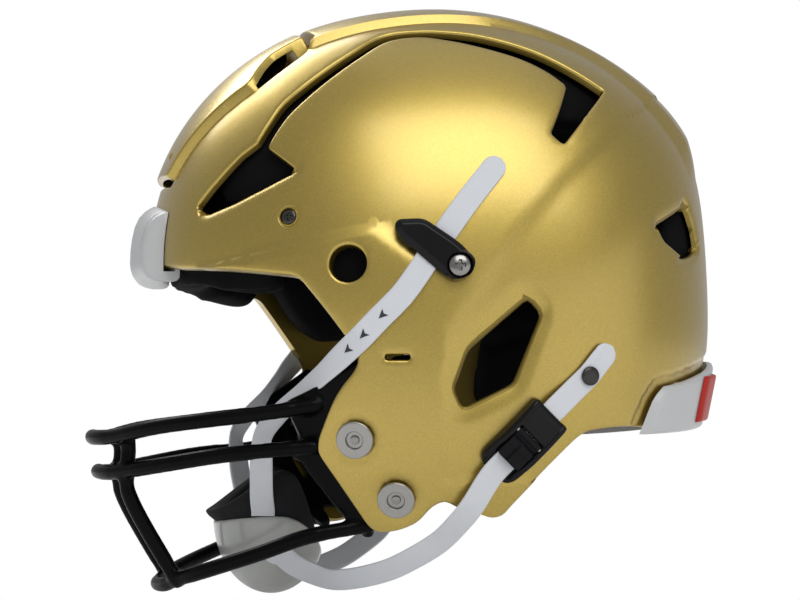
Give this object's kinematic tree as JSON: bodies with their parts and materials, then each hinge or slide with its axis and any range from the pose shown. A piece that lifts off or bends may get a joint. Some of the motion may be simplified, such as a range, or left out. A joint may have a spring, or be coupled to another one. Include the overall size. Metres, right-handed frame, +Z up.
{
  "type": "football helmet",
  "caption": "American football helmet: vented gold shell with raised front flex panel, bar face guard, bumpers, padded lining, strap buckles and chin cup.",
  "frame": {"origin": "under the middle of the whole helmet, at the level of its lowest point, the chin cup's underside", "axes": "+Z up, +X towards the back of the head, -Y towards the wearer's left side, which the picture shows"},
  "size_m": [0.332, 0.254, 0.3077],
  "materials": {
    "gold_shell": "metallic gold paint under a clear gloss coat",
    "white_plastic": "satin",
    "red_plastic": "satin",
    "coated_steel": "gloss black coating",
    "steel": "satin",
    "black_plastic": "gloss",
    "dark_metal": "satin",
    "white_webbing": "woven, smooth",
    "grey_cup": "satin",
    "cup_foam": "matt",
    "black_padding": "matt"
  },
  "bodies": {
    "helmet": {"shell": "gold_shell", "panel_hinge_rod": "steel", "panel_hinge_brackets": "black_plastic", "front_bumper": "white_plastic", "rear_bumper": "white_plastic", "rear_bumper_plate": "red_plastic", "rear_bumper_screws": "steel", "face_guard": "coated_steel", "release_heads": "steel", "release_nuts": "steel", "strap_clip_l": "black_plastic", "strap_clip_r": "black_plastic", "clip_screws": "steel", "clip_nuts": "steel", "temple_screws": "steel", "temple_nuts": "steel", "front_pad": "black_padding", "crown_pad": "black_padding", "crown_side_pad_l": "black_padding", "crown_side_pad_r": "black_padding", "side_pad_l": "black_padding", "side_pad_r": "black_padding", "rear_side_pad_l": "black_padding", "rear_side_pad_r": "black_padding", "back_pad": "black_padding", "neck_pad": "black_padding", "jaw_pad_l": "black_padding", "jaw_pad_r": "black_padding", "upper_strap_l": "white_webbing", "upper_strap_r": "white_webbing", "anchor_strap_l": "white_webbing", "anchor_strap_r": "white_webbing", "lower_strap_l": "white_webbing", "lower_strap_r": "white_webbing", "anchor_rivets": "dark_metal", "buckle_l": "black_plastic", "buckle_r": "black_plastic", "buckle_pins": "steel", "chin_cup_shell": "grey_cup", "chin_cup_pad": "cup_foam"},
    "flex_panel": {"front_flex_panel": "gold_shell", "panel_pad": "black_padding"},
    "plunger_upper_l": {"plunger_upper_l": "steel"},
    "plunger_lower_l": {"plunger_lower_l": "steel"},
    "plunger_upper_r": {"plunger_upper_r": "steel"},
    "plunger_lower_r": {"plunger_lower_r": "steel"},
    "buckle_lever_l": {"buckle_lever_l": "black_plastic"},
    "buckle_lever_r": {"buckle_lever_r": "black_plastic"}
  },
  "joints": [
    {"name": "flex_panel_hinge", "type": "hinge", "parent": "helmet", "child": "flex_panel", "pos_m": [-0.11397, 0, 0.21421], "axis": [0, 1, 0], "range_deg": [0, 3.5], "stiffness_Nm_per_rad": 20},
    {"name": "plunger_upper_l_slide", "type": "slide", "parent": "helmet", "child": "plunger_upper_l", "axis": [0.3481, 0.9155, 0.2015], "range_m": [0, 0.0016], "stiffness_N_per_m": 800},
    {"name": "plunger_lower_l_slide", "type": "slide", "parent": "helmet", "child": "plunger_lower_l", "axis": [0.257, 0.908, 0.331], "range_m": [0, 0.0016], "stiffness_N_per_m": 800},
    {"name": "plunger_upper_r_slide", "type": "slide", "parent": "helmet", "child": "plunger_upper_r", "axis": [0.3481, -0.9155, 0.2015], "range_m": [0, 0.0016], "stiffness_N_per_m": 800},
    {"name": "plunger_lower_r_slide", "type": "slide", "parent": "helmet", "child": "plunger_lower_r", "axis": [0.257, -0.908, 0.331], "range_m": [0, 0.0016], "stiffness_N_per_m": 800},
    {"name": "buckle_lever_l_hinge", "type": "hinge", "parent": "helmet", "child": "buckle_lever_l", "pos_m": [0.04039, -0.12302, 0.08041], "axis": [-0.7154, -0.153, 0.6817], "range_deg": [0, 80]},
    {"name": "buckle_lever_r_hinge", "type": "hinge", "parent": "helmet", "child": "buckle_lever_r", "pos_m": [0.04039, 0.12302, 0.08041], "axis": [0.7154, -0.153, -0.6817], "range_deg": [0, 80]}
  ]
}
